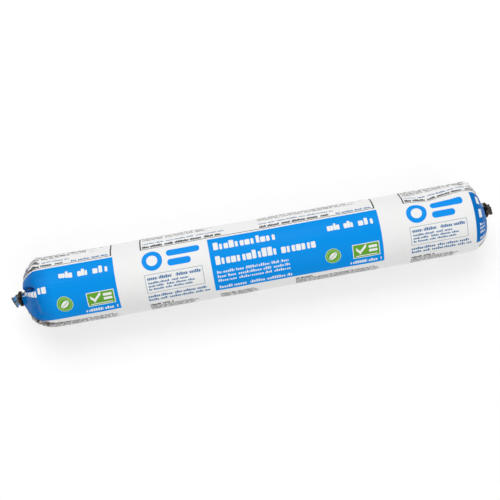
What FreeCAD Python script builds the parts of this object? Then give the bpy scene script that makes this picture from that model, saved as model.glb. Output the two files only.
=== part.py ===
"""Sealant sausage pack: a 600 ml foil-film casing, gathered and clipped at both ends.

Frame: millimetres, +X along the pack, +Z up.  The pack lies on its side, label up, and
the origin is the middle of the narrow flat it rests on, half way between the two clips.
Angles round the pack are measured at its axis, from +Z (up) towards -Y (front).

Three separate pieces: the filled and sealed casing, and a wire clip at each end.
"""
import FreeCAD
import Part
import math
import os

# Filled body
body_radius = 24.5
straight_length = 292.0
rest_flat_width = 12.0

# Gathered ends: the film folds in from the full radius to the neck under the clip
dome_length = 15.7
dome_squareness = 1.9
dome_stations = 10
pleats = 18
pleat_depth = 2.2
crest_share = 0.55
pleat_unevenness = 0.45
pleat_lean = 0.16
unevenness_step = 2.4
neck_offsets = {"left": (-1.0, 0.0), "right": (2.3, 0.6)}

# Lap seam of the film, along the straight of the body
film_step = 0.15
seam_width = 11.0
seam_angle = 152.0

# Clip: a flat wire closed round the neck, its two ends lapped side by side
clip_wire_width = 2.2
clip_wire_thickness = 1.7
clip_wire_chamfer = 0.4
clip_bore_radius = 3.6
clip_lap_length = 6.0
clip_lap_gap = 0.2
neck_clearance = 0.05
clip_end_play = 0.15

# Tails: the trimmed film beyond each clip, flared and drooping, cut off at a slant
tail_pleats = 9
tail_pleat_depth = 2.3
tail_stations = 3
tail_radius = 4.2
tail_lengths = {"left": 3.4, "right": 2.8}
tail_offsets = {"left": (-3.2, -0.6), "right": (0.9, 0.2)}
tail_slants = {"left": 27.0, "right": 8.0}

# How far a joined feature runs into what carries it
root_depth = 1.0

# Worked out from the sizes above
axis_height = math.sqrt(body_radius ** 2 - (rest_flat_width / 2) ** 2)
neck_radius = clip_bore_radius - neck_clearance
seat_length = clip_wire_width + 2 * clip_end_play
shoulder_x = straight_length / 2
neck_x = shoulder_x + dome_length
clip_x = neck_x + seat_length / 2
side_signs = {"left": -1, "right": 1}

along_x = FreeCAD.Vector(1, 0, 0)


def axis_point(x, centre=(0.0, 0.0)):
    """A point at x, shifted from the pack's axis by centre (Y, Z)."""
    return FreeCAD.Vector(x, centre[0], axis_height + centre[1])


def round_point(x, radius, angle, centre=(0.0, 0.0)):
    """A point at an angle (degrees) and radius round the shifted axis."""
    turn = math.radians(angle)
    outward = FreeCAD.Vector(0, -math.sin(turn), math.cos(turn))
    return axis_point(x, centre) + outward * radius


def uneven(fold):
    """A size factor that makes neighbouring folds differ, never above one."""
    return 1 - pleat_unevenness * (1 + math.sin(unevenness_step * fold)) / 2


def film_ring(x, radius, folds, depth, centre, slant=0.0):
    """The closed outline of the film at x: flat crests with a leaning groove between.

    The ring is turned by slant (degrees) about its upright diameter.
    """
    pitch = 360.0 / folds
    corners = []
    for fold in range(folds):
        start = fold * pitch
        groove = start + pitch * ((1 + crest_share) / 2 + pleat_lean * uneven(fold + 2))
        corners.append(round_point(x, radius, start, centre))
        corners.append(round_point(x, radius, start + pitch * crest_share / 2, centre))
        corners.append(round_point(x, radius, start + pitch * crest_share, centre))
        corners.append(round_point(x, radius - depth * uneven(fold), groove, centre))
    ring = Part.makePolygon(corners + corners[:1])
    ring.rotate(axis_point(x, centre), FreeCAD.Vector(0, 0, 1), slant)
    return ring


def gathered_dome(side):
    """The folded end from the shoulder to the neck, with a ruled face on every fold."""
    sign = side_signs[side]
    offset = neck_offsets[side]
    rings = []
    for station in range(dome_stations + 1):
        turn = math.pi / 2 * station / dome_stations
        reach = math.sin(turn) ** (2 / dome_squareness)
        spread = max(math.cos(turn), 0.0) ** (2 / dome_squareness)
        radius = neck_radius + (body_radius - neck_radius) * spread
        depth = min(pleat_depth * math.sin(2 * turn), radius / 2)
        centre = (offset[0] * reach ** 2, offset[1] * reach ** 2)
        x = sign * (shoulder_x + dome_length * reach)
        rings.append(film_ring(x, radius, pleats, depth, centre))
    return Part.makeLoft(rings, True, True)


def clip_seat(side):
    """The plain neck under the clip, running a little way into the dome and the tail."""
    length = seat_length + 2 * root_depth
    middle = axis_point(side_signs[side] * clip_x, neck_offsets[side])
    start = middle - along_x * (length / 2)
    return Part.makeCylinder(neck_radius, length, start, along_x)


def trimmed_tail(side):
    """The film beyond the clip, opening out to a ragged, pleated end."""
    sign = side_signs[side]
    neck = neck_offsets[side]
    droop = tail_offsets[side]
    root_x = clip_x + seat_length / 2
    rings = []
    for station in range(tail_stations + 1):
        share = station / tail_stations
        radius = neck_radius + (tail_radius - neck_radius) * share
        depth = min(tail_pleat_depth * math.sqrt(share), radius / 2)
        centre = (neck[0] + droop[0] * share, neck[1] + droop[1] * share)
        x = sign * (root_x + tail_lengths[side] * share)
        slant = tail_slants[side] * share
        rings.append(film_ring(x, radius, tail_pleats, depth, centre, slant))
    return Part.makeLoft(rings, True, True)


def lap_seam():
    """The raised strip where one edge of the film is sealed over the other."""
    half_angle = math.degrees(seam_width / 2 / body_radius)
    outer = body_radius + film_step
    inner = body_radius - root_depth
    first = seam_angle - half_angle
    last = seam_angle + half_angle
    start = -shoulder_x
    outer_arc = Part.Arc(
        round_point(start, outer, first),
        round_point(start, outer, seam_angle),
        round_point(start, outer, last),
    ).toShape()
    inner_arc = Part.Arc(
        round_point(start, inner, last),
        round_point(start, inner, seam_angle),
        round_point(start, inner, first),
    ).toShape()
    last_side = Part.makeLine(round_point(start, outer, last), round_point(start, inner, last))
    first_side = Part.makeLine(round_point(start, inner, first), round_point(start, outer, first))
    outline = Part.Wire([outer_arc, last_side, inner_arc, first_side])
    return Part.Face(outline).extrude(along_x * straight_length)


def below_rest():
    """Everything under the surface the pack lies on."""
    reach = clip_x * 2
    corner = FreeCAD.Vector(-reach, -body_radius * 2, -body_radius)
    return Part.makeBox(reach * 2, body_radius * 4, body_radius, corner)


def filled_casing():
    """Film and sealant as one solid, settled on its flat."""
    start = axis_point(-shoulder_x)
    body = Part.makeCylinder(body_radius, straight_length, start, along_x)
    joined = [lap_seam()]
    for side in ("left", "right"):
        joined.append(gathered_dome(side))
        joined.append(clip_seat(side))
        joined.append(trimmed_tail(side))
    return body.fuse(joined).cut(below_rest())


def end_clip(side):
    """A flat wire bent round the neck, cut by the sloping gap between its lapped ends."""
    middle = axis_point(side_signs[side] * clip_x, neck_offsets[side])
    outer_radius = clip_bore_radius + clip_wire_thickness
    start = middle - along_x * (clip_wire_width / 2)
    ring = Part.makeCylinder(outer_radius, clip_wire_width, start, along_x)
    rims = [edge for edge in ring.Edges if edge.Closed]
    ring = ring.makeChamfer(clip_wire_chamfer, rims)
    bore = Part.makeCylinder(clip_bore_radius, clip_wire_width, start, along_x)
    slope = math.degrees(math.atan2(clip_wire_width, clip_lap_length))
    slot_length = clip_lap_length * 2
    gap = Part.makeBox(
        clip_lap_gap,
        slot_length,
        outer_radius,
        FreeCAD.Vector(-clip_lap_gap / 2, -slot_length / 2, 0),
    )
    gap.rotate(FreeCAD.Vector(0, 0, 0), FreeCAD.Vector(0, 0, 1), 90 - slope)
    gap.translate(middle)
    return ring.cut([bore, gap])


os.makedirs("parts", exist_ok=True)
filled_casing().exportStep("parts/filled_casing.step")
end_clip("left").exportStep("parts/end_clip_left.step")
end_clip("right").exportStep("parts/end_clip_right.step")
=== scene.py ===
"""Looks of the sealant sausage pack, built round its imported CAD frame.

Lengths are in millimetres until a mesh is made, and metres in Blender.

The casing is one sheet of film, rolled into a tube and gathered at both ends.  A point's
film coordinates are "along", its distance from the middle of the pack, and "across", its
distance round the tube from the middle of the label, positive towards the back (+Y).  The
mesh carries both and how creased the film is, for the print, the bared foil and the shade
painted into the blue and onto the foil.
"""
from functools import partialmethod
from math import cos, pi, radians, sin

import bpy
import numpy as np
from mathutils import Matrix, Vector


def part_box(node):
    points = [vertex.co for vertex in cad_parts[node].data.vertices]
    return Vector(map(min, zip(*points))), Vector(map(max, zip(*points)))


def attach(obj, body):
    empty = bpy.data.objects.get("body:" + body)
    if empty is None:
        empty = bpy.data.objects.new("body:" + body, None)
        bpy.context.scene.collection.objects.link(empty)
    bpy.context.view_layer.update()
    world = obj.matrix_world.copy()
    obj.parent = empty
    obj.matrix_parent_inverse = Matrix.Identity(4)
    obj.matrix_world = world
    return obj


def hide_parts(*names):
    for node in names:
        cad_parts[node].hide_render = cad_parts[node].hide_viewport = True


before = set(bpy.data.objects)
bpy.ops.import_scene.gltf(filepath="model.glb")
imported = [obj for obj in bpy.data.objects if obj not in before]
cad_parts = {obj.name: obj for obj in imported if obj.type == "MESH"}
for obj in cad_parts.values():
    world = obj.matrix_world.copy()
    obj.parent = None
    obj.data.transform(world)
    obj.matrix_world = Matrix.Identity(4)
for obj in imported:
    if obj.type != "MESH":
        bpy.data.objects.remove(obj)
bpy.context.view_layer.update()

rng = np.random.default_rng(11)

# ---- sizes taken from the frame
casing_low, casing_high = np.array(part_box("filled_casing")) * 1000
clip_boxes = {side: np.array(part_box("end_clip_" + side)) * 1000 for side in ("left", "right")}
clip_middles = {side: box.mean(axis=0) for side, box in clip_boxes.items()}
clip_width = np.ptp(clip_boxes["left"][:, 0])
clip_end_play = 0.15
body_radius = (casing_high[1] - casing_low[1]) / 2
axis_height = casing_high[2] - body_radius
side_signs = {"left": -1.0, "right": 1.0}
neck_centres = {side: (spot[1], spot[2] - axis_height) for side, spot in clip_middles.items()}
neck_x = abs(clip_middles["left"][0]) - clip_width / 2 - clip_end_play
neck_radius = 3.5

# ---- the film
label_tilt = radians(10.4)
dome_length = 20.0
shoulder_x = neck_x - dome_length

# The lap seam
lap_edge = radians(-128.7)
lap_width = 11.0
lap_step = 0.22
lap_slope = 3.0

# The casing's mesh: columns round it and in each fold, rings of the body and of each dome,
# and how much closer the body's rings stand towards its ends
columns = 400
fold_columns = 8
body_rings = 114
dome_rings = 56
end_crowding = 0.33

# Outline of each gathered end, as (distance before the neck, radius), along the back of
# the pack and along its front.  The two are blended round the pack.
outlines = {
    ("left", "back"): [
        (20, 24.5), (15.2, 24.7), (12.6, 24.6), (5.8, 18.2), (3.1, 13.0),
        (2.6, 10.0), (3.4, 8.0), (4.4, 6.3), (3.2, 4.2), (0, 3.5),
    ],
    ("left", "front"): [
        (20, 24.5), (15.4, 23.9), (11.2, 21.8), (7.0, 17.8),
        (4.2, 12.6), (1.4, 7.6), (0.5, 5.0), (0, 3.5),
    ],
    ("right", "back"): [
        (20, 24.5), (13, 24.6), (9.6, 24.4), (6.4, 19.6),
        (4.8, 13.8), (2.8, 8.4), (0.6, 4.8), (0, 3.5),
    ],
    ("right", "front"): [
        (20, 24.5), (11.7, 24.1), (6.4, 21.4), (2.4, 17.0),
        (0.8, 12.0), (0.6, 7.6), (0.4, 5.0), (0, 3.5),
    ],
}

# Folds of each end: angle round the label in degrees, where along the dome it starts, half
# the width of its mouth, how far it leans, and its share of the deepest fold.  The first
# one swallows the lap seam.
fold_lists = {
    "left": [
        (-128.7, 0.35, 0.9, 0.3, 0.8), (-113, 0.12, 0.8, 0.4, 1.0), (-99, 0.30, 0.9, 0.2, 0.8),
        (-86, 0.10, 0.8, 0.4, 1.2), (-70, 0.20, 0.9, 0.3, 1.1),
        (-48, 0.12, 1.5, 0.5, 1.6), (8.5, 0.16, 3.2, 0.15, 3.2), (42, 0.30, 0.8, 0.5, 1.0),
        (53, 0.06, 1.0, 0.6, 1.5), (64, 0.20, 0.8, 0.5, 1.1), (77, 0.04, 1.1, 0.5, 1.5),
        (92, 0.24, 0.9, 0.4, 1.0), (106, 0.06, 1.0, 0.3, 1.3), (121, 0.24, 0.8, 0.4, 1.0),
        (138, 0.02, 1.1, 0.3, 1.2), (155, 0.26, 0.9, 0.4, 0.9), (172, 0.08, 1.0, 0.4, 1.3),
        (189, 0.22, 0.8, 0.3, 1.0), (210, 0.06, 1.0, 0.4, 1.2),
    ],
    "right": [
        (-128.7, 0.35, 0.9, -0.3, 0.8), (-114, 0.10, 1.0, -0.4, 1.2), (-97, 0.26, 0.8, -0.3, 1.0),
        (-82, 0.08, 1.0, -0.4, 1.2), (-66, 0.34, 0.9, -0.3, 1.0), (-50, 0.46, 0.9, -0.4, 1.0),
        (-36, 0.56, 0.8, -0.3, 0.9), (-21, 0.46, 1.0, -0.4, 1.1), (-5, 0.56, 0.9, -0.3, 0.9),
        (14, 0.46, 1.0, -0.5, 1.2), (33, 0.52, 0.9, -0.3, 1.0), (51, 0.36, 1.0, -0.4, 1.1),
        (68, 0.16, 1.0, -0.4, 1.2), (84, 0.02, 1.2, -0.4, 1.4),
        (101, 0.20, 0.9, -0.4, 1.0), (123, 0.02, 1.1, -0.3, 1.3), (146, 0.22, 0.9, -0.4, 1.0),
        (171, 0.06, 1.1, -0.3, 1.2), (202, 0.18, 0.9, -0.4, 1.1),
    ],
}
# What is odd about some folds and the crests after them, by number: how far a crest stands
# out for its width, which lip its film hangs from (-1 the first, 1 the second), its bare
# foil, which carries painted shade, how much its film is squeezed at the neck, and how far
# the fold swings (degrees)
oddities = {
    "left": {
        "bulge": {3: 0.22, 4: 0.40, 5: -0.12, 6: 0.08},
        "hang": {4: 1.0, 5: 0.5, 6: 1.0},
        "foil": {3: 0.46, 4: 0.70, 7: 0.62, 8: 0.58, 9: 0.50, 10: 0.46, 11: 0.24},
        "squeeze": {5: 1.6},
        "swing": {
            1: -2, 2: -5, 3: -12, 4: -20, 5: -24, 6: 23, 7: 20, 8: 18, 9: 15, 10: 11, 11: 6, 12: 3,
        },
    },
    "right": {"foil": {11: 0.30, 12: 0.34, 13: 0.30}},
}
twists = {"left": radians(5), "right": radians(-6)}

# Plain folds and crests.  The bulge is for a crest's width, the shares are of the radius
# and of the dome's length, and the widest mouth is a share of the arc beside it.
crest_bulge = 0.12
shingle_step = 0.25
deepest_fold = 7.0
deepest_share = 0.6
opening_share = 0.4
first_mouth = 1.7
widest_mouth = 0.28
narrowest_mouth = 0.02

# How sharp a fold's bottom is, and how late on the dome swings and offset come in
fold_sharpness = 1.2
swing_lateness = 1.2
offset_lateness = 1.3

# Creasing, from 0 for smooth film to 1 for bared foil, in deep folds, near their lips and
# on bare crests.  Bared foil carries painted shade, and creasing in deep folds paints shade
# into the blue print
fold_creasing = 0.22
creasing_sharpness = 1.6
deep_fold = 3.0
lip_creasing = 0.12
lip_reach = 0.8
bare_start = 0.2


def smooth(value):
    """0 below 0, 1 above 1, and an even curve between."""
    value = np.clip(value, 0.0, 1.0)
    return value * value * (3 - 2 * value)


def hump(value, middle, half_width):
    """1 at the middle, and falling away evenly on both sides."""
    return np.exp(-(((value - middle) / half_width) ** 2))


def rounded_line(points, passes=2):
    """The points' line with its corners cut off again and again."""
    line = np.array(points, float)
    for _ in range(passes):
        first = line[:-1] * 0.75 + line[1:] * 0.25
        second = line[:-1] * 0.25 + line[1:] * 0.75
        inner = np.stack([first, second], axis=1).reshape(-1, 2)
        line = np.vstack([line[:1], inner[1:-1], line[-1:]])
    return line


def evenly(line, shares):
    """The points of a line at shares of its length, and its length."""
    steps = np.linalg.norm(np.diff(line, axis=0), axis=1)
    run = np.concatenate([[0], np.cumsum(steps)])
    at = shares * run[-1]
    spots = [np.interp(at, run, line[:, 0]), np.interp(at, run, line[:, 1])]
    return np.stack(spots, axis=1), run[-1]


def column_plan(base):
    """For each column: the fold it is in or after, whether on a crest, and where in it."""
    widths = np.diff(base)
    spare = columns - fold_columns * len(widths)
    ends = np.round(np.cumsum(widths) / widths.sum() * spare).astype(int)
    counts = np.diff(np.concatenate([[0], ends]))
    half = fold_columns // 2
    plan = []
    for index, count in enumerate(counts):
        plan += [(index, 0, step / half) for step in range(half)]
        plan += [(index, 1, -cos(pi * step / count)) for step in range(count)]
        plan += [(index + 1, 0, -1 + step / half) for step in range(half)]
    plan.append((len(counts), 0, 0.0))
    fold, crest, place = np.array(plan).T
    return fold.astype(int), crest.astype(bool), place


class GatheredEnd:
    """The folds, crests and outlines of one end of the casing.

    The first fold comes again as the last, a full turn on.  Each column of the mesh is in
    the fold of its number, or on the crest after it.
    """

    def __init__(self, side):
        self.side = side
        folds = np.array(fold_lists[side] + fold_lists[side][:1])
        self.starts, self.mouths, self.leans, self.depths = folds[:, 1:].T
        self.base = np.radians(folds[:, 0])
        self.base[-1] += 2 * pi
        self.widths = np.diff(self.base) * body_radius
        self.fold, self.crest, self.place = column_plan(self.base)
        self.after = np.minimum(self.fold + 1, len(self.base) - 1)
        self.shares = np.linspace(0, 1, dome_rings + 1)
        self.bulges = self.numbered("bulge", crest_bulge)
        self.hangs = self.numbered("hang")
        self.foil_and_shade_amounts = self.numbered("foil")
        self.squeezes = self.numbered("squeeze")
        self.swings = np.radians(self.numbered("swing"))
        self.read_outlines()

    def numbered(self, kind, plain=0.0):
        """One value for each fold: plain, but for the odd ones."""
        values = np.full(len(self.base), plain)
        for index, value in oddities[self.side].get(kind, {}).items():
            values[index] = value
        return values

    def read_outlines(self):
        """The back and front outlines at even steps, their slopes and their mean length."""
        back, front = outlines[self.side, "back"], outlines[self.side, "front"]
        self.back, back_length = evenly(rounded_line(back), self.shares)
        self.front, front_length = evenly(rounded_line(front), self.shares)
        self.back_slope = np.gradient(self.back, axis=0)
        self.front_slope = np.gradient(self.front, axis=0)
        self.length = (back_length + front_length) / 2

    def grid(self):
        """Points from the shoulder to the neck, with film coordinates and creasing."""
        rings = [FoldedRing(self, station) for station in range(dome_rings + 1)]
        points = np.array([ring.points() for ring in rings])
        film = np.zeros(points.shape)
        film[..., 0] = side_signs[self.side] * (shoulder_x + self.shares * self.length)[:, None]
        film[..., 1] = [ring.film_across() for ring in rings]
        film[..., 2] = [ring.creasing() for ring in rings]
        return points, film


class FoldedRing:
    """One ring of a gathered end, whose folds hide the film that its crests have no room for."""

    def __init__(self, end, station):
        self.end = end
        self.station = station
        self.share = end.shares[station]
        self.radius = (end.back[station, 1] + end.front[station, 1]) / 2
        self.closing = max(1 - (self.radius - neck_radius) / (body_radius - neck_radius), 0.0)
        self.opened = smooth((self.share - end.starts) * end.depths / opening_share)
        self.openness = (self.opened[end.fold] + self.opened[end.after]) / 2
        twist = twists[end.side] * self.closing**2
        self.angles = end.base + twist + end.swings * self.closing**swing_lateness
        self.arcs = np.diff(self.angles) * self.radius
        self.depth = self.fold_depths()
        self.mouth = self.fold_mouths()
        low = self.angles[end.fold] + self.mouth[end.fold] / self.radius
        high = self.angles[end.after] - self.mouth[end.after] / self.radius
        self.middle = (low + high) / 2
        self.half = (high - low) / 2

    def fold_depths(self):
        """How deep each fold is, to hide its share of the film on either side of it."""
        hangs = self.end.hangs[:-1]
        spare = np.maximum(self.end.widths - self.arcs, 0.0)
        depth = (spare * (1 + hangs) + np.roll(spare * (1 - hangs), 1)) / 4
        depth = np.append(depth, depth[0]) * self.end.depths * self.opened
        return np.minimum(depth, min(deepest_fold, deepest_share * self.radius))

    def fold_mouths(self):
        """Half the width of each fold's mouth, a little wider while the fold is shallow."""
        arcs = self.arcs
        narrow = np.append(np.minimum(arcs, np.roll(arcs, 1)), min(arcs[0], arcs[-1]))
        wider = first_mouth - (first_mouth - 1) * self.opened
        mouth = self.end.mouths * wider * np.sqrt(self.opened)
        return np.minimum(mouth, narrow * widest_mouth) + narrowest_mouth

    def profile(self):
        """Each column's angle, how far it stands out, and how far it is slid sideways."""
        end, place = self.end, self.end.place
        width = end.bulges[end.fold] * self.half * 2 * self.radius
        arch = width * (1 - place**2) * self.openness * (1 - self.closing**3)
        step = shingle_step * np.sign(end.leans[end.fold]) * self.opened[end.fold]
        lip = smooth(np.abs(place)) * np.sign(place) * step
        deep = self.depth[end.fold] * (1 - np.abs(place)) ** fold_sharpness
        in_fold = self.angles[end.fold] + place * self.mouth[end.fold] / self.radius
        angle = np.where(end.crest, self.middle + self.half * place, in_fold)
        offset = np.where(end.crest, arch - place * step * self.openness, lip - deep)
        slide = np.where(end.crest, 0.0, end.leans[end.fold] * deep)
        return angle, offset, slide

    def points(self):
        """The columns' points round the pack's axis, between the back and front outlines."""
        end, station = self.end, self.station
        angle, offset, slide = self.profile()
        blend = ((1 + np.sin(angle)) / 2)[:, None]
        point = end.back[station] * blend + end.front[station] * (1 - blend)
        slope = end.back_slope[station] * blend + end.front_slope[station] * (1 - blend)
        slope /= np.linalg.norm(slope, axis=1)[:, None]
        spot = point + offset[:, None] * np.stack([slope[:, 1], -slope[:, 0]], axis=1)
        turn = angle - label_tilt + slide / np.maximum(spot[:, 1], 2.0)
        shift = np.array(neck_centres[end.side]) * self.closing**offset_lateness
        x = side_signs[end.side] * (neck_x - spot[:, 0])
        y = spot[:, 1] * np.sin(turn) + shift[0]
        z = spot[:, 1] * np.cos(turn) + shift[1]
        return np.stack([x, y, z], axis=1)

    def film_across(self):
        """Film coordinates across the tube, spread through the folds between their lips."""
        end = self.end
        first, last = end.base[end.fold], end.base[end.after]
        reach = self.half * self.radius * (1 + end.squeezes[end.fold] * self.closing**3)
        spread = (last - first) / 2 * body_radius - reach
        film = (first + last) / 2 * body_radius + end.place * reach
        film += end.hangs[end.fold] * spread
        film[[0, -1]] = end.base[[0, -1]] * body_radius
        known = end.crest.copy()
        known[[0, -1]] = True
        index = np.arange(len(film))
        return np.interp(index, index[known], film[known])

    def creasing(self):
        """Foil, with painted shade, bared on odd crests; a little creasing at the lips and in the folds."""
        end = self.end
        inner = 1 - np.abs(end.place)
        deep = np.minimum(self.depth[end.fold] / deep_fold, 1.0)
        in_fold = inner**creasing_sharpness * deep * fold_creasing
        from_lip = inner * self.half * self.radius
        at_lip = lip_creasing * (1 - smooth(from_lip / lip_reach)) * self.openness
        bare = end.foil_and_shade_amounts[end.fold] * smooth(self.share / bare_start)
        on_crest = np.maximum(bare, at_lip)
        return np.where(end.crest, on_crest, np.maximum(in_fold, lip_creasing * self.openness))


# ---- the body's own unevenness
wave_count = 9
wave_lengths = (28, 95)
wave_height = 0.035
wave_fade = 16.0

# The lap seam fades out towards the necks, over this range of radius
lap_least_radius = 8.0
lap_fade = 10.0

# Crumpled foil, which starts at a certain creasing
ridge_sets = 5
ridge_spacings = (2.6, 6.0)
crumple_height = 1.7
crumple_start = 0.22
crumple_range = 0.35

# A crease is deeper in its middle, and the foil along it is narrower
crease_swell = 0.35
foil_narrowness = 1.4

# How gently the underside turns into its flat
rest_softness = 0.05


def lap_offset(across):
    """How far the film stands out where its last stretch lies over its first."""
    covered = across - (lap_edge + 2 * pi) * body_radius + lap_width + lap_slope
    return lap_step * smooth(covered / lap_slope)


def body_waves(along, across):
    """Soft unevenness of the filled body, in radius."""
    total = np.zeros_like(along)
    for _ in range(wave_count):
        length = rng.uniform(*wave_lengths)
        around = rng.integers(1, 5)
        phase = rng.uniform(0, 2 * pi)
        total += np.sin(2 * pi * along / length + around * across / body_radius + phase)
    return total * wave_height


# Soft creases of the body: (along, angle) of both ends, half width, depth, and how much
# foil shows along the bottom, foil which carries painted shade
creases = [
    # Behind the right end of the label
    ((103, 74), (121, 44), 2.6, 0.75, 0.10),
    ((121, 44), (139, 58), 2.4, 0.60, 0.10),
    ((104, 60), (112, 84), 2.0, 0.60, 0.15),
    ((128, 70), (146, 80), 2.2, 0.60, 0.15),
    ((112, 66), (127, 72), 1.6, 0.45, 0.12),
    ((137, 84), (149, 66), 1.8, 0.50, 0.12),
    ((141, 48), (150, 60), 1.6, 0.40, 0.10),
    # Behind the left end of the label
    ((-101, 86), (-92, 55), 2.2, 0.55, 0.15),
    ((-122, 80), (-104, 66), 2.0, 0.50, 0.25),
    ((-137, 50), (-120, 58), 2.0, 0.40, 0.10),
    ((-147, 64), (-118, 74), 1.4, 0.50, 0.28),
    ((-144, 78), (-108, 84), 1.6, 0.55, 0.38),
    ((-133, 66), (-119, 62), 1.3, 0.35, 0.10),
    ((-116, 70), (-100, 78), 1.3, 0.40, 0.20),
    ((-148, 52), (-136, 60), 1.4, 0.40, 0.15),
    ((-119, 57), (-97, 62), 2.2, 0.50, 0.05),
    # Underneath and behind
    ((60, -96), (82, -118), 2.6, 0.50, 0.05),
    ((-60, 150), (-38, 128), 2.6, 0.50, 0.05),
    ((10, 160), (40, 178), 3.0, 0.50, 0.05),
    ((112, 118), (138, 104), 2.0, 0.50, 0.15),
    ((-140, 118), (-112, 104), 2.0, 0.50, 0.15),
    ((118, -104), (140, -88), 2.0, 0.45, 0.10),
    # The rim beside the broad flat of the left end
    ((-150, -56), (-135, -66), 1.5, 0.85, 0.80),
    ((-146, -64), (-126, -76), 1.3, 0.65, 0.75),
    ((-138, -60), (-120, -68), 1.2, 0.40, 0.45),
    # On the broad flat itself
    ((-142, -46), (-153, -24), 1.5, 0.65, 0.0),
    ((-147, -12), (-160, -34), 1.3, 0.65, 0.0),
    ((-144, 2), (-153, 9), 1.8, 0.60, 0.0),
    ((-141, 30), (-151, 36), 2.0, 0.45, 0.0),
]


def crease_depth(along, across):
    """Depth of the soft creases, and the foil bared by them, at film coordinates."""
    total = np.zeros_like(along)
    bare = np.zeros_like(along)
    for first, last, width, depth, foil in creases:
        start = np.array([first[0], radians(first[1]) * body_radius])
        run = np.array([last[0], radians(last[1]) * body_radius]) - start
        share = ((along - start[0]) * run[0] + (across - start[1]) * run[1]) / (run @ run)
        near = np.clip(share, 0, 1)
        apart = np.hypot(along - start[0] - near * run[0], across - start[1] - near * run[1])
        swell = 1 - crease_swell * np.cos(2 * pi * near)
        total += depth * hump(apart, 0, width) * swell
        bare = np.maximum(bare, foil * hump(apart, 0, width / foil_narrowness))
    return total, bare


def crumple(along, across):
    """Height of small sharp facets, as of crushed foil, about 0 on the whole."""
    total = np.zeros_like(along)
    for _ in range(ridge_sets):
        way = rng.uniform(0, pi)
        length = rng.uniform(*ridge_spacings)
        phase = rng.uniform(0, pi)
        run = along * cos(way) + across * sin(way)
        total += 2 / pi - np.abs(np.sin(pi * run / length + phase))
    return total / ridge_sets


def casing_grid():
    """The casing's points, ring by ring, and the film's coordinates and creasing there."""
    left, left_film = GatheredEnd("left").grid()
    right, right_film = GatheredEnd("right").grid()
    steps = np.linspace(-1, 1, body_rings + 2)[1:-1]
    along = shoulder_x * (steps * (1 + end_crowding) - steps**3 * end_crowding)
    shares = (along / shoulder_x + 1) / 2
    mix = smooth(shares)[:, None]
    across = left_film[0, :, 1] * (1 - mix) + right_film[0, :, 1] * mix
    angle = across / body_radius - label_tilt
    x = np.broadcast_to(along[:, None], across.shape)
    body = np.stack([x, body_radius * np.sin(angle), body_radius * np.cos(angle)], axis=2)
    film = np.stack([x, across, np.zeros_like(x)], axis=2)
    points = np.concatenate([left[::-1], body, right])
    return points, np.concatenate([left_film[::-1], film, right_film])


def settle(points, film):
    """Adds the lap, waves and creases, crumples the bared foil, and rests it on the floor.

    The foil that the creases bare is added to the film's creasing.
    """
    along, across = film[..., 0], film[..., 1]
    on_body = smooth((shoulder_x + wave_fade / 2 - np.abs(along)) / wave_fade)
    outward = points * np.array([0, 1, 1])
    reach = np.linalg.norm(outward, axis=2, keepdims=True)
    outward = outward / np.maximum(reach, 1e-6)
    move = lap_offset(across) * smooth((reach[..., 0] - lap_least_radius) / lap_fade)
    depth, bare = crease_depth(along, across)
    move += body_waves(along, across) * on_body - depth
    film[..., 2] = np.maximum(film[..., 2], bare)
    foil = smooth((film[..., 2] - crumple_start) / crumple_range)
    move += crumple(along, across) * crumple_height * foil
    points = points + outward * move[..., None]
    points[..., 2] += axis_height
    low = points[..., 2]
    points[..., 2] = (low + np.sqrt(low**2 + rest_softness)) / 2
    return points


# The print wanders across the film behind the label's right end: where, over how much of
# the film, and how far.  At the left end it is drawn inwards, and its title there dips.
wanders = [(119, 9, 2.2), (144, 7, -1.6)]
wander_start, wander_range = 10, 9
drawn_start, drawn_range, drawn_most = -116, 12, 1.5
dip_start, dip_range, dip_most = -122, 14, 2.0
dip_middle, dip_width = 3, 8


def print_warp(film):
    """Lets the print run a little askew where the film is wrinkled or drawn to an end."""
    along, across = film[..., 0], film[..., 1]
    wander = sum(most * hump(along, middle, width) for middle, width, most in wanders)
    dip = dip_most * smooth((dip_start - along) / dip_range)
    film = film.copy()
    film[..., 0] += drawn_most * smooth((drawn_start - along) / drawn_range)
    film[..., 1] += wander * smooth((across - wander_start) / wander_range)
    film[..., 1] -= dip * hump(across, dip_middle, dip_width)
    return film


def placed(name, data):
    """A new object in the scene."""
    made = bpy.data.objects.new(name, data)
    bpy.context.scene.collection.objects.link(made)
    return made


def sheet_mesh(name, points, film, closed=False):
    """A grid of quads in metres, smooth shaded, carrying its film coordinates."""
    rings, count = points.shape[:2]
    mesh = bpy.data.meshes.new(name)
    index = np.arange(rings * count).reshape(rings, count)
    if closed:
        index = np.concatenate([index, index[:, :1]], axis=1)
    quads = np.stack([index[:-1, :-1], index[:-1, 1:], index[1:, 1:], index[1:, :-1]], axis=2)
    mesh.from_pydata((points.reshape(-1, 3) / 1000).tolist(), [], quads.reshape(-1, 4).tolist())
    mesh.polygons.foreach_set("use_smooth", [True] * len(mesh.polygons))
    layer = mesh.attributes.new("film", "FLOAT_VECTOR", "POINT")
    layer.data.foreach_set("vector", film.reshape(-1, 3).ravel())
    mesh.update()
    return placed(name, mesh)


# ---- the tails
# Beyond each clip: how far the film reaches, which way it turns (degrees, towards the
# back), how far it droops, half its width and thickness at the cut, the cut's slant, and
# how creased the film is at least
tail_shapes = {
    "left": {"length": 4.5, "turn": -28, "droop": 0.5, "half": (4.3, 2.5), "slant": 4, "crease": 0.30},
    "right": {"length": 2.6, "turn": -4, "droop": -0.2, "half": (4.1, 3.2), "slant": 13, "crease": 0.9},
}
tail_columns = 180
tail_rings = 16

# Where folds notch a tail's outline (degrees), how wide (radians) and large the notches
# are, how much both vary, and the share of the radius that they take
tail_folds = [8, 52, 95, 131, 170, 214, 250, 287, 330]
notch_width, width_varies = 0.30, 0.09
notch_size, size_varies = 0.8, 0.2
notch_depth, notch_growth = 0.16, 0.36
ripples = 5
ripple_height = 0.05

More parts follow.
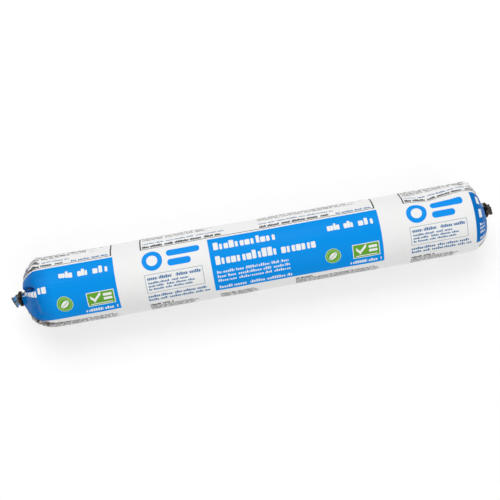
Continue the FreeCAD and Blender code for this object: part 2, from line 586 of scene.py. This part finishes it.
# A tail starts this far inside its neck, and stays as thin as it for this long
tail_root = 0.5
tail_neck = clip_width + 0.8

# How soon a tail turns and droops, how much its notches and ends are creased, what share
# of its length each end is, and over how much of it the creasing fades
# Creasing in a tail's notches and towards its ends bares foil with painted shade, darkening them
tail_turning, tail_drooping = 1.5, 0.3
tail_creasing = 0.8
creased_share, creasing_fade = 0.3, 0.25

# Rings over the cut edges: how much of the outline each keeps, and how far it is sunk in
cut_rings = [(0.965, -0.02), (0.80, 0.7), (0.66, 0.15), (0.48, 0.8), (0.30, 0.3), (0.04, 0.6)]
cut_creasing = 2.0

# The print that a tail shows: where it starts along the film, and millimetres of film to
# a millimetre along the tail and to a radian round it
tail_print_start = 41.0
tail_print_run = 0.5
tail_print_width = 8.0


def tail_outline(half, share):
    """One ring of a tail, as a pleated outline growing from a circle to a flat bundle."""
    angle = np.linspace(0, 2 * pi, tail_columns, endpoint=False)
    notch = np.zeros(tail_columns)
    for number, fold in enumerate(tail_folds):
        apart = np.abs((angle - radians(fold) + pi) % (2 * pi) - pi)
        width = notch_width + width_varies * sin(number * 2.1)
        size = notch_size + size_varies * cos(number * 1.7)
        notch = np.maximum(notch, np.maximum(1 - apart / width, 0) ** 1.1 * size)
    wide = neck_radius * (1 - share) + half[0] * share
    thick = neck_radius * (1 - share) + half[1] * share
    shrink = 1 - notch * (notch_depth + notch_growth * share)
    ripple = 1 + ripple_height * share * np.sin(ripples * angle + 1.0)
    outline = np.stack([wide * np.cos(angle), thick * np.sin(angle)], axis=1)
    return outline * (shrink * ripple)[:, None], notch, angle


def tail_ring(side, outline, share, run):
    """A tail's outline in its place, at a distance from the tail's root."""
    shape, sign = tail_shapes[side], side_signs[side]
    y, z = neck_centres[side]
    root = np.array([sign * (neck_x - tail_root), y, axis_height + z])
    path = radians(shape["turn"]) * smooth(share * tail_turning)
    tilt = radians(shape["turn"] + shape["slant"]) * share
    step = np.array([sign * cos(path), sin(path), -shape["droop"] * share * tail_drooping])
    centre = root + np.array([sign * min(run, tail_neck), 0, 0])
    centre = centre + step * max(run - tail_neck, 0.0)
    side_way = np.array([-sign * sin(tilt), cos(tilt), 0.0])
    up_way = np.array([0.0, 0.0, 1.0])
    return centre + outline[:, :1] * side_way + outline[:, 1:] * up_way


def tail_film(side, notch, angle, share, run):
    """Film coordinates of a ring, and creasing in its notches and towards both its ends."""
    round_it = (angle - pi / 2 + pi) % (2 * pi) - pi
    along = np.full(len(angle), tail_print_start + tail_print_run * run)
    near_ends = smooth((share - 1 + creased_share) / creasing_fade)
    near_ends += smooth((creased_share - share) / creasing_fade)
    creasing = tail_creasing * (notch * share + near_ends) + tail_shapes[side]["crease"]
    return np.stack([along, -round_it * tail_print_width, np.minimum(creasing, 1.0)], axis=1)


def tail_grid(side):
    """Rings of a tail from under its clip to the cut, then in over the film's cut edges."""
    length, half = tail_shapes[side]["length"], tail_shapes[side]["half"]
    stages = [(share, 1.0, 0.0) for share in (0.0, 0.0, *np.linspace(0, 1, tail_rings))]
    stages += [(1.0, keep, sunk) for keep, sunk in cut_rings]
    rings, films = [], []
    for number, (share, keep, sunk) in enumerate(stages):
        outline, notch, angle = tail_outline(half, share)
        run = share * length + (tail_neck if number else 0.0) - sunk
        rings.append(tail_ring(side, outline * keep, share, run))
        films.append(tail_film(side, notch, angle, share, run))
        if number >= len(stages) - len(cut_rings):
            films[-1][:, 2] += cut_creasing
    return np.array(rings), np.array(films)


# ---- shader building
class Tree:
    """Short names for the shader nodes that the materials are made of."""

    def __init__(self, owner):
        self.nodes = owner.node_tree.nodes
        self.links = owner.node_tree.links

    def fill(self, node, inputs):
        """Sets each of these inputs of a node, or links it."""
        for name, value in inputs.items():
            if isinstance(value, bpy.types.NodeSocket):
                self.links.new(value, node.inputs[name])
            else:
                node.inputs[name].default_value = value

    def node(self, kind, inputs, **settings):
        made = self.nodes.new("ShaderNode" + kind)
        for name, value in settings.items():
            setattr(made, name, value)
        self.fill(made, inputs)
        return made

    def math(self, operation, first, second=0.0, third=0.0):
        inputs = {0: first, 1: second, 2: third}
        return self.node("Math", inputs, operation=operation).outputs[0]

    add = partialmethod(math, "ADD")
    less = partialmethod(math, "SUBTRACT")
    times = partialmethod(math, "MULTIPLY")
    times_add = partialmethod(math, "MULTIPLY_ADD")
    below = partialmethod(math, "LESS_THAN")
    above = partialmethod(math, "GREATER_THAN")

    def between(self, value, low, high):
        """value, kept from low to high."""
        return self.math("MAXIMUM", self.math("MINIMUM", value, high), low)

    def either(self, *masks):
        """The highest of the masks."""
        total = masks[0]
        for mask in masks[1:]:
            total = self.math("MAXIMUM", total, mask)
        return total

    def band(self, value, low, high):
        """1 where value lies between low and high."""
        return self.math("COMPARE", value, (low + high) / 2, (high - low) / 2)

    def root_sum(self, first, second):
        """The length of a step of first one way and second the other."""
        squares = self.add(self.times(first, first), self.times(second, second))
        return self.math("SQRT", squares)

    def hash(self, value, other=0.0):
        """A number from 0 to 1 that differs for every value and other."""
        inputs = {"W": self.times_add(other, 37.7, value)}
        return self.node("TexWhiteNoise", inputs, noise_dimensions="1D").outputs["Value"]

    def over(self, base, colour, mask):
        """colour laid over base where mask is 1."""
        return self.node("Mix", {0: mask, 6: base, 7: colour}, data_type="RGBA").outputs[2]

    def noise(self, place, scale, detail, distortion=0.0):
        inputs = {"Vector": place, "Scale": scale, "Detail": detail, "Distortion": distortion}
        return self.node("TexNoise", inputs).outputs[0]

    def stretched(self, place, scale):
        return self.node("Mapping", {"Vector": place, "Scale": scale}).outputs[0]

    def bump(self, height, strength, distance):
        inputs = {"Height": height, "Strength": strength, "Distance": distance}
        return self.node("Bump", inputs).outputs[0]

    def object_place(self):
        return self.node("TexCoord", {}).outputs["Object"]

    def film_place(self):
        """The mesh's film coordinates, and by themselves along, across and creasing."""
        film = self.node("Attribute", {}, attribute_name="film").outputs["Vector"]
        return film, *self.node("SeparateXYZ", {0: film}).outputs

    def seen_straight(self):
        """1 for the camera, in a reflection and through something clear."""
        path = self.node("LightPath", {})
        kinds = ("Camera", "Glossy", "Transmission")
        return self.either(*[path.outputs["Is " + kind + " Ray"] for kind in kinds])


# Small print: the share of a word that is not space, and sizes for a row's pitch
word_share = 0.86
letter_width = 0.46
small_height = 0.72
extra_height = 0.2
tall_above = 0.66

# How uneven the words and letters are
word_wander = 0.12
letter_wander = 0.13

# A title's blocks: their corners' radius, and half heights for the row's height
title_corner = 0.6
title_small, title_extra = 0.36, 0.14
title_tall_above = 0.68


class Sheet(Tree):
    """Shapes on the film, x millimetres along it and y across it, each 1 inside and 0 outside."""

    def __init__(self, material, x, y):
        super().__init__(material)
        self.x = x
        self.y = y

    def box(self, left, right, bottom, top):
        return self.times(self.band(self.x, left, right), self.band(self.y, bottom, top))

    def frame_box(self, left, right, bottom, top, line, upright):
        """The outline of a box, whose upright lines may be thicker than the others."""
        outer = self.box(left, right, bottom, top)
        inner = self.box(left + upright, right - upright, bottom + line, top - line)
        return self.less(outer, inner)

    def distance(self, centre_x, centre_y):
        return self.root_sum(self.less(self.x, centre_x), self.less(self.y, centre_y))

    def disc(self, centre_x, centre_y, radius):
        return self.below(self.distance(centre_x, centre_y), radius)

    def past(self, value, low, high, corner):
        """How far value is beyond a side from low to high, less its two round corners."""
        from_middle = self.math("ABSOLUTE", self.less(value, (low + high) / 2))
        beyond = self.less(from_middle, (high - low) / 2 - corner)
        return self.math("MAXIMUM", beyond, 0.0)

    def rounded_bar(self, left, right, bottom, top, corner):
        over_x = self.past(self.x, left, right, corner)
        over_y = self.past(self.y, bottom, top, corner)
        return self.below(self.root_sum(over_x, over_y), corner)

    def stroke(self, centre, slope, left, right, half_width):
        """A slanting stroke through a centre, from left to right of it: slope is 1 or -1."""
        across = self.less(self.y, centre[1])
        along = self.less(self.x, centre[0])
        beside = self.less(along, across) if slope > 0 else self.add(along, across)
        line = self.math("COMPARE", beside, 0.0, half_width)
        return self.times(line, self.band(self.x, centre[0] + left, centre[0] + right))

    def blocks(self, left, right, bottom, top, rows, seed, word=6.0, ragged=0.0, body=0.62, ink=0.76):
        """Rows of small blocks in word-like groups, where a label carries its small print."""
        pitch = (top - bottom) / rows
        down = self.math("DIVIDE", self.less(top, self.y), pitch)
        row = self.math("FLOOR", down)
        lot = self.hash(row, seed)
        run = self.less(self.x, left)
        end = self.times_add(lot, -ragged, right - left)
        inside = self.times(self.above(run, 0.0), self.below(run, end))
        inside = self.times(inside, self.band(self.y, bottom, top))
        inside = self.times(inside, self.words(run, lot, word))
        cells = self.math("DIVIDE", run, pitch * letter_width)
        cell = self.math("FLOOR", cells)
        gap = self.below(self.less(cells, cell), ink)
        tall = self.above(self.hash(cell, self.add(row, seed + 5)), tall_above)
        height = self.times_add(tall, extra_height, body * small_height)
        foot = 0.5 + body / 2
        within = self.less(down, row)
        shown = self.times(self.above(within, self.less(foot, height)), self.below(within, foot))
        return self.times(inside, self.times(gap, shown))

    def words(self, run, lot, word):
        """1 in a row's words, which are about as long as word and start where lot says."""
        bent = self.math("SINE", self.times_add(run, 4.1 / word, self.times(lot, 9.0)))
        start = self.add(self.math("DIVIDE", run, word), lot)
        return self.below(self.math("FRACT", self.times_add(bent, word_wander, start)), word_share)

    def title(self, left, right, bottom, top, count, seed):
        """A word of large blocks with round corners, some taller than the rest."""
        wide = (right - left) / count
        run = self.math("DIVIDE", self.less(self.x, left), wide)
        bent = self.math("SINE", self.times(run, 2.3 + 0.1 * seed))
        run = self.times_add(bent, letter_wander, run)
        cell = self.math("FLOOR", run)
        inside = self.times(self.above(run, 0.0), self.below(run, count))
        tall = self.above(self.hash(cell, seed), title_tall_above)
        half = self.times_add(tall, (top - bottom) * title_extra, (top - bottom) * title_small)
        over_x = self.less(self.math("ABSOLUTE", self.less(self.less(run, cell), 0.5)), 0.2)
        over_x = self.math("MAXIMUM", self.times(over_x, wide), 0.0)
        over_y = self.less(self.math("ABSOLUTE", self.less(self.less(self.y, bottom), half)), half)
        over_y = self.math("MAXIMUM", self.add(over_y, title_corner), 0.0)
        return self.times(inside, self.below(self.root_sum(over_x, over_y), title_corner))


def new_material(name):
    material = bpy.data.materials.new(name)
    material.use_nodes = True
    return material, material.node_tree.nodes["Principled BSDF"]


# Ink and foil colours, linear
white_ink = (0.86, 0.86, 0.855, 1)
blue_ink = (0.0, 0.28, 0.81, 1)
# Painted shade for the blue print, towards the ends and in folds
painted_shade_blue = (0.0, 0.07, 0.30, 1)
mark_blue = (0.003, 0.285, 0.85, 1)
text_blue = (0.035, 0.155, 0.36, 1)
black_ink = (0.03, 0.03, 0.032, 1)
grey_ink = (0.38, 0.43, 0.48, 1)
green_ink = (0.13, 0.37, 0.03, 1)
pale_green = (0.55, 0.75, 0.35, 1)
# Painted shade in the creases and on the shaded facets of bared foil
painted_crease_shade = (0.035, 0.030, 0.028, 1)
bare_foil = (0.76, 0.735, 0.71, 1)
cut_edge = (0.09, 0.07, 0.055, 1)

# Label layout, in film millimetres.  It repeats along the film.
repeat = 180.0
panel_start, panel_end = -30.8, 85.05
panel_low, panel_high = -21.5, 17.2

# Rows of print across the film, from their bottom to their top
heading_row = (19.5, 22.0)
blue_row = (23.0, 25.0)
back_rows = (28.2, 44.5)
front_heading = (-25.3, -23.5)
front_rows = (-34.6, -25.6)
upper_title, lower_title = (8.2, 13.6), (-1.9, 3.9)
short_title = (7.2, 12.1)

# How those rows differ from plain small print
heading_look = {"word": 9.0, "body": 0.92, "ink": 0.86}
back_look = {"word": 7.0, "ragged": 14.0}
front_heading_look = {"word": 8.0, "body": 1.0, "ink": 0.9}
front_look = {"word": 5.0, "ragged": 6.0, "body": 0.9}
panel_look = {"word": 8.0, "ragged": 3.0, "body": 0.56, "ink": 0.62}

# The ends hide the large titles and the panel's small rows beyond these places
large_end = 156.0
small_start, small_end = -157.0, 157.5

# Painted shade: the blue is darkened towards both ends, and in the folds from a certain creasing
end_shade_start, end_shade_run, end_shade_most = 136.0, 24.0, 0.6
fold_shade_rate, fold_shade_least = 9.0, 1.1

# The film shows pulls from here towards both ends
pulls_start, pulls_run = 92.0, 60


# Each of the following gives layers of print, as their inks and what each ink covers
def black_print(sheet):
    """A thin box with rows behind the label, and small print along its front edge."""
    shapes = [
        sheet.frame_box(-76.2, 84.4, 18.5, 46.0, 0.45, 0.9),
        sheet.blocks(-74.4, -21.0, *heading_row, 1, 1.0, **heading_look),
        sheet.blocks(5.5, 53.0, *heading_row, 1, 2.0, **heading_look),
        sheet.blocks(-74.4, -20.0, *back_rows, 9, 5.0, **back_look),
        sheet.blocks(5.5, 80.0, *back_rows, 9, 6.0, **back_look),
        sheet.blocks(-75.9, -60.0, *front_heading, 1, 7.0, **front_heading_look),
        sheet.blocks(-75.9, -42.5, *front_rows, 7, 8.0, **front_look),
        sheet.blocks(-27.8, 0.5, *front_rows, 7, 9.5, **front_look),
        sheet.blocks(24.0, 36.0, *front_heading, 1, 10.0, **front_heading_look),
        sheet.blocks(24.0, 83.0, *front_rows, 7, 11.0, word=5.0, ragged=5.0, body=0.9),
    ]
    return [(black_ink, shapes)]


def blue_print(sheet):
    """The plain box with four rows, two rows under it, rows behind the label, and the mark."""
    box = sheet.frame_box(-75.9, -36.7, -13.3, -0.1, 0.42, 0.42)
    rows = [
        sheet.blocks(-74.3, -38.2, -4.3, -1.6, 1, 12.0, word=11.0, body=0.85),
        sheet.blocks(-74.3, -40.6, -11.6, -4.9, 3, 13.0, word=7.0, ragged=8.0, body=0.66),
        sheet.blocks(-75.9, -33.8, -20.4, -14.4, 2, 14.0, word=8.0, ragged=3.0, body=0.66),
        sheet.blocks(58.0, 82.0, 19.4, 21.6, 1, 15.0, word=8.0, body=0.8),
        sheet.blocks(-74.4, -18.0, *blue_row, 1, 3.0, word=7.0),
        sheet.blocks(5.5, 57.0, *blue_row, 1, 4.0, word=7.0),
    ]
    ring = sheet.math("COMPARE", sheet.distance(-69.2, 8.9), 5.3, 1.6)
    upper_bar = sheet.rounded_bar(-59.2, -36.6, 10.0, 14.6, 2.2)
    lower_bar = sheet.rounded_bar(-59.2, -43.4, 3.2, 7.8, 2.2)
    return [(grey_ink, [box]), (text_blue, rows), (mark_blue, [ring, upper_bar, lower_bar])]


def blue_panel(sheet, blue, along):
    """The blue panel and the blocks reversed out of it."""
    inside = sheet.less(1.0, sheet.below(sheet.x, panel_start))
    inside = sheet.times(inside, sheet.band(sheet.y, panel_low, panel_high))
    large = sheet.below(along, large_end)
    small = sheet.band(along, small_start, small_end)
    three_rows = sheet.blocks(-27.8, 22.0, -14.6, -5.4, 3, 23.0, **panel_look)
    last_row = sheet.blocks(-27.8, 22.0, -20.2, -16.8, 1, 24.0, word=12.0, body=0.72, ink=0.66)
    shapes = [
        sheet.times(small, three_rows),
        sheet.times(small, last_row),
        sheet.times(large, sheet.title(-27.8, 15.0, *upper_title, 12, 20.0)),
        sheet.times(large, sheet.title(-27.8, 14.3, *lower_title, 12, 21.0)),
        sheet.title(16.6, 40.4, *lower_title, 7, 22.0),
        sheet.title(49.6, 58.2, *short_title, 4, 25.0),
        sheet.title(61.0, 67.6, *short_title, 3, 26.0),
        sheet.title(70.6, 81.8, *short_title, 3, 27.0),
        sheet.blocks(61.8, 83.2, -20.1, -16.7, 1, 28.0, word=9.0, body=0.7),
    ]
    return [(blue, [inside]), (white_ink, shapes)]


def round_badge(sheet):
    """A green disc with a thin ring in it and a veined leaf."""
    centre_x, centre_y = 50.6, -10.2
    away = sheet.distance(centre_x, centre_y)
    leaf = sheet.times(sheet.disc(52.0, -11.9, 4.15), sheet.disc(49.2, -8.5, 4.15))
    rise = sheet.times(sheet.less(sheet.x, centre_x), 0.82)
    vein = sheet.math("COMPARE", sheet.less(sheet.y, centre_y), rise, 0.22)
    return [
        (pale_green, [sheet.below(away, 5.3)]),
        (green_ink, [sheet.below(away, 4.9)]),
        (pale_green, [sheet.band(away, 3.75, 4.0)]),
        (white_ink, [sheet.times(leaf, sheet.less(1.0, vein))]),
    ]


def square_badge(sheet):
    """A green box with a tick, two bars and a line."""
    corner = (69.0, -11.0)
    shapes = [
        sheet.stroke(corner, -1, -2.6, 0.5, 1.1),
        sheet.stroke(corner, 1, -0.5, 4.4, 1.1),
        sheet.rounded_bar(75.0, 80.8, -8.8, -7.0, 0.5),
        sheet.rounded_bar(75.0, 80.8, -11.6, -9.8, 0.5),
        sheet.box(66.0, 80.6, -13.9, -13.3),
    ]
    return [
        (white_ink, [sheet.box(64.0, 82.5, -15.1, -5.0)]),
        (green_ink, [sheet.box(64.5, 82.0, -14.6, -5.5)]),
        (white_ink, shapes),
    ]


def film_bump(tree, film, along):
    """Faint ripple of the laminate, and long pulls in the film towards its gathered ends."""
    soft = tree.noise(tree.stretched(film, (0.16, 0.34, 1.0)), scale=1.0, detail=3.0)
    pulls = tree.noise(tree.stretched(film, (0.030, 0.42, 1.0)), scale=1.0, detail=2.0)
    near_end = tree.less(tree.math("ABSOLUTE", along), pulls_start)
    near_end = tree.math("MAXIMUM", tree.times(near_end, 1 / pulls_run), 0.0)
    height = tree.add(soft, tree.times(pulls, tree.times(near_end, 3.0)))
    return tree.bump(height, strength=0.14, distance=0.0014)


def worn_and_shaded_patches(tree, creasing):
    """Where the ink has cracked off, baring foil with painted shade: more as creasing goes 0 to 1."""
    crinkle = tree.noise(tree.object_place(), scale=480.0, detail=2.5)
    edge = tree.times_add(crinkle, 1.3, -1.1)
    return tree.between(tree.times_add(tree.add(creasing, edge), 8.0, 0.7), 0.0, 1.0)


def foil_with_painted_shade(tree, film, bright):
    """Foil in facets of many tones, up to bright, the darker ones painted shade, with painted shade in the
    creases winding between them.
    """
    place = tree.stretched(film, (0.3, 0.85, 1.0))
    facets = tree.node("TexVoronoi", {"Vector": place, "Scale": 1.0})
    tones = tree.times_add(facets.outputs["Color"], 1.7, -0.5)
    crease_shade_lines = tree.less(tree.noise(place, scale=0.9, detail=4.0, distortion=1.2), 0.5)
    tones = tree.math("MINIMUM", tones, tree.times(tree.math("ABSOLUTE", crease_shade_lines), 10.0))
    return tree.over(painted_crease_shade, bright, tree.between(tones, 0.0, 1.0))


def painted_blue_shade(tree, along, creasing):
    """How much painted shade darkens the blue: towards both ends, and more in the folds."""
    past = tree.times_add(tree.math("ABSOLUTE", along), 1 / end_shade_run, -end_shade_start / end_shade_run)
    shade_in_folds = tree.times_add(creasing, fold_shade_rate, -fold_shade_least)
    shade_in_folds = tree.math("MINIMUM", shade_in_folds, 1.0)
    return tree.either(tree.between(past, 0.0, end_shade_most), shade_in_folds)


def film_material():
    """White and blue print, repeated along the film, with painted shade in the blue towards both ends and
    in folds, and foil with painted shade bared where it's creased.
    """
    material, shader = new_material("printed_film")
    tree = Tree(material)
    film, along, across, creasing = tree.film_place()
    sheet = Sheet(material, tree.math("WRAP", along, panel_end, panel_end - repeat), across)
    # Painted shade: the blue is darkened towards both ends and in the deep folds
    blue = tree.over(blue_ink, painted_shade_blue, painted_blue_shade(tree, along, creasing))
    layers = black_print(sheet) + blue_print(sheet) + blue_panel(sheet, blue, along)
    layers += round_badge(sheet) + square_badge(sheet)
    colour = white_ink
    for ink, shapes in layers:
        colour = tree.over(colour, ink, tree.either(*shapes))
    # Foil with painted shade, where the creased film's ink has worn off
    worn = worn_and_shaded_patches(tree, tree.math("MINIMUM", creasing, 1.0))
    colour = tree.over(colour, foil_with_painted_shade(tree, film, bare_foil), worn)
    tree.fill(shader, {"Base Color": colour, "Normal": film_bump(tree, film, along)})
    tree.fill(shader, {"Roughness": 0.36, "Specular IOR Level": 0.06})
    return material


def tail_material(name, painted_patch_tone, shade, bright):
    """Crushed film: blue with patches painted another tone, and foil with painted shade.  It is creased at
    least by shade.
    """
    material, shader = new_material(name)
    tree = Tree(material)
    film, _, _, creasing = tree.film_place()
    # Patches painted another tone: a painted highlight on the left tail, near black on the right
    patches = tree.noise(tree.stretched(film, (0.55, 0.22, 1.0)), scale=1.0, detail=3.0)
    patches = tree.between(tree.times_add(patches, 6.0, -2.8), 0.0, 1.0)
    colour = tree.over(blue_ink, painted_patch_tone, patches)
    foil = foil_with_painted_shade(tree, film, bright)
    # Foil with painted shade, where the crushed film's ink has worn off
    worn = worn_and_shaded_patches(tree, tree.between(creasing, shade, 1.0))
    colour = tree.over(colour, foil, worn)
    cut = tree.above(creasing, 1.5)
    colour = tree.over(colour, tree.over(cut_edge, foil, 0.5), cut)
    tree.fill(shader, {"Base Color": colour, "Roughness": 0.30, "Specular IOR Level": 0.3})
    return material


# The wire's colours, from its darkest spots to its brightest: the dark ones are a painted dark
# reflection on the shiny wire, and the brightest are painted glints
wire_tones = [
    (0.30, (0.006, 0.005, 0.005, 1)),
    (0.58, (0.035, 0.028, 0.024, 1)),
    (0.76, (0.20, 0.17, 0.15, 1)),
]


def clip_material():
    """Drawn wire, dark as a painted dark reflection, with painted glints where the noise is high."""
    material, shader = new_material("clip_wire")
    tree = Tree(material)
    glint_noise = tree.noise(tree.object_place(), scale=420.0, detail=4.0)
    ramp = tree.node("ValToRGB", {0: glint_noise})
    stops = ramp.color_ramp.elements
    stops.new(0.58)
    for stop, (place, tone) in zip(stops, wire_tones):
        stop.position = place
        stop.color = tone
    bump = tree.bump(glint_noise, strength=0.5, distance=0.0002)
    tree.fill(shader, {"Base Color": ramp.outputs[0], "Normal": bump})
    tree.fill(shader, {"Metallic": 1.0, "Roughness": 0.24})
    return material


# ---- camera, floor and light
# Where the pack is seen from, the point of its axis that the view turns on, and how far
# the camera is from there, to its own right, up and away
camera_azimuth, camera_elevation = radians(-10.4), radians(79.4)
camera_pivot = (-3.33, 0, axis_height)
camera_offset = (-0.224, 4.104, 690.3)


def add_camera():
    """A camera above the pack, at the elevation and azimuth it is shown from."""
    level = cos(camera_elevation)
    front, side = -cos(camera_azimuth) * level, sin(camera_azimuth) * level
    away = Vector((side, front, sin(camera_elevation)))
    right = Vector((cos(camera_azimuth), sin(camera_azimuth), 0))
    up = away.cross(right)
    place = Vector(camera_pivot)
    for way, distance in zip((right, up, away), camera_offset):
        place += way * distance
    data = bpy.data.cameras.new("camera")
    data.sensor_width = 36
    data.lens = 72
    data.clip_start, data.clip_end = 0.05, 20
    camera = placed("camera", data)
    turn = Matrix((right, up, away)).transposed().to_4x4()
    camera.matrix_world = Matrix.Translation(place / 1000) @ turn
    bpy.context.scene.camera = camera


def floor_material():
    """Pale, and fading to white far from the pack."""
    material, shader = new_material("floor")
    tree = Tree(material)
    seen = tree.seen_straight()
    colour = tree.over((0.86, 0.86, 0.86, 1), (0.58, 0.58, 0.58, 1), seen)
    tree.fill(shader, {"Base Color": colour, "Roughness": 0.9, "Specular IOR Level": 0.1})
    glow = tree.times(seen, 0.44)
    tree.fill(shader, {"Emission Color": (1, 1, 1, 1), "Emission Strength": glow})
    away = tree.node("VectorMath", {0: tree.object_place()}, operation="LENGTH").outputs["Value"]
    fading = {"Value": away, "From Min": 0.22, "From Max": 0.75}
    fade = tree.node("MapRange", fading, interpolation_type="SMOOTHSTEP").outputs[0]
    white = tree.node("Emission", {}).outputs[0]
    mixed = tree.node("MixShader", {0: tree.times(fade, seen), 1: shader.outputs[0], 2: white})
    tree.fill(tree.nodes["Material Output"], {"Surface": mixed.outputs[0]})
    return material


def add_floor():
    """A pale floor that keeps the pack's shadow."""
    half = 3.0
    mesh = bpy.data.meshes.new("floor")
    corners = [(-half, -half, 0), (half, -half, 0), (half, half, 0), (-half, half, 0)]
    mesh.from_pydata(corners, [], [(0, 1, 2, 3)])
    mesh.materials.append(floor_material())
    floor = placed("floor", mesh)


def add_lamp(name, place, size, power):
    """A soft lamp, in metres, that shines on the middle of the pack."""
    data = bpy.data.lights.new(name, "AREA")
    data.shape = "RECTANGLE"
    data.size, data.size_y = size
    data.energy = power
    lamp = placed(name, data)
    aim = Vector((0, 0, 0.02)) - Vector(place)
    lamp.location = place
    lamp.rotation_mode = "QUATERNION"
    lamp.rotation_quaternion = aim.to_track_quat("-Z", "Y")


def add_light():
    """Two lamps and a white studio, which is dimmer beyond the pack's two ends."""
    add_lamp("key", (-0.1, 0.75, 1.25), (1.2, 0.8), 8.6)
    add_lamp("fill", (0.3, -0.9, 1.0), (1.4, 0.9), 3.5)
    world = bpy.data.worlds.new("studio")
    world.use_nodes = True
    tree = Tree(world)
    toward = tree.node("TexCoord", {}).outputs["Generated"]
    endways = tree.node("SeparateXYZ", {0: toward}).outputs[0]
    dim = tree.times(tree.math("POWER", endways, 2.0), -0.75)
    lit = tree.times(tree.add(dim, 1.0), 0.74)
    strength = tree.either(lit, tree.seen_straight())
    tree.fill(tree.nodes["Background"], {"Color": (1, 1, 1, 1), "Strength": strength})
    bpy.context.scene.world = world
    bpy.context.scene.view_settings.view_transform = "Standard"


# ---- making
add_camera()
points, film = casing_grid()
points = settle(points, film)
casing = sheet_mesh("film_casing", points, print_warp(film))
casing.data.materials.append(film_material())
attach(casing, "root")
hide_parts("filled_casing")

# The left tail's pale patches are a painted highlight; the right tail's patches and foil are near black
tail_finishes = {
    "left": tail_material("crushed_film", (0.36, 0.52, 0.66, 1), 0.24, (0.30, 0.38, 0.46, 1)),
    "right": tail_material("crushed_dark_film", (0.02, 0.02, 0.025, 1), 0.62, (0.09, 0.07, 0.06, 1)),
}
for side in side_signs:
    tail = sheet_mesh("film_tail_" + side, *tail_grid(side), closed=True)
    tail.data.materials.append(tail_finishes[side])
    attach(tail, "root")

clip_finish = clip_material()
for side in side_signs:
    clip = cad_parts["end_clip_" + side]
    clip.data.materials.clear()
    clip.data.materials.append(clip_finish)

add_floor()
add_light()
